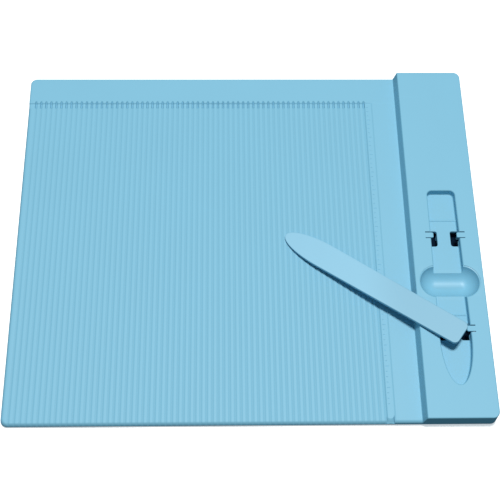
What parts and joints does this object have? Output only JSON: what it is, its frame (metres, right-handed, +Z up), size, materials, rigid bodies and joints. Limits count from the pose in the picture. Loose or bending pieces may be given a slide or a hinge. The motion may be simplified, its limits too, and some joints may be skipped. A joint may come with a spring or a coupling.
{
  "type": "scoring board",
  "caption": "Grooved plastic board for scoring card, with a back fence and a raised tool block whose fitted well stores a loose bone folder.",
  "frame": {"origin": "centre of the footprint, on the surface the feet stand on", "axes": "+X to the right along the board's width, towards the tool block; +Y away from the user, towards the back fence; +Z up"},
  "size_m": [0.272, 0.2298, 0.0168],
  "materials": {
    "board_plastic": "moulded plastic, fine satin texture",
    "folder_plastic": "smooth satin moulded plastic",
    "foot_rubber": "dull rubber"
  },
  "bodies": {
    "board": {"board_moulding": "board_plastic", "front_left_foot": "foot_rubber", "front_right_foot": "foot_rubber", "rear_left_foot": "foot_rubber", "rear_right_foot": "foot_rubber"},
    "folder": {"bone_folder": "folder_plastic"},
    "front_left_finger": {"front_left_snap_finger": "board_plastic"},
    "front_right_finger": {"front_right_snap_finger": "board_plastic"},
    "rear_left_finger": {"rear_left_snap_finger": "board_plastic"},
    "rear_right_finger": {"rear_right_snap_finger": "board_plastic"}
  },
  "joints": [
    {"name": "folder_lift", "type": "slide", "parent": "board", "child": "folder", "axis": [0, 0, 1], "range_m": [0, 0.04]},
    {"name": "front_left_finger_flex", "type": "hinge", "parent": "board", "child": "front_left_finger", "pos_m": [0.10483, -0.0621, 0.0104], "axis": [0, -1, 0], "range_deg": [-15, 10], "stiffness_Nm_per_rad": 0.1},
    {"name": "front_right_finger_flex", "type": "hinge", "parent": "board", "child": "front_right_finger", "pos_m": [0.12752, -0.0621, 0.0104], "axis": [0, 1, 0], "range_deg": [-15, 10], "stiffness_Nm_per_rad": 0.1},
    {"name": "rear_left_finger_flex", "type": "hinge", "parent": "board", "child": "rear_left_finger", "pos_m": [0.10483, -0.0023, 0.0104], "axis": [0, -1, 0], "range_deg": [-15, 10], "stiffness_Nm_per_rad": 0.1},
    {"name": "rear_right_finger_flex", "type": "hinge", "parent": "board", "child": "rear_right_finger", "pos_m": [0.12752, -0.0023, 0.0104], "axis": [0, 1, 0], "range_deg": [-15, 10], "stiffness_Nm_per_rad": 0.1}
  ]
}
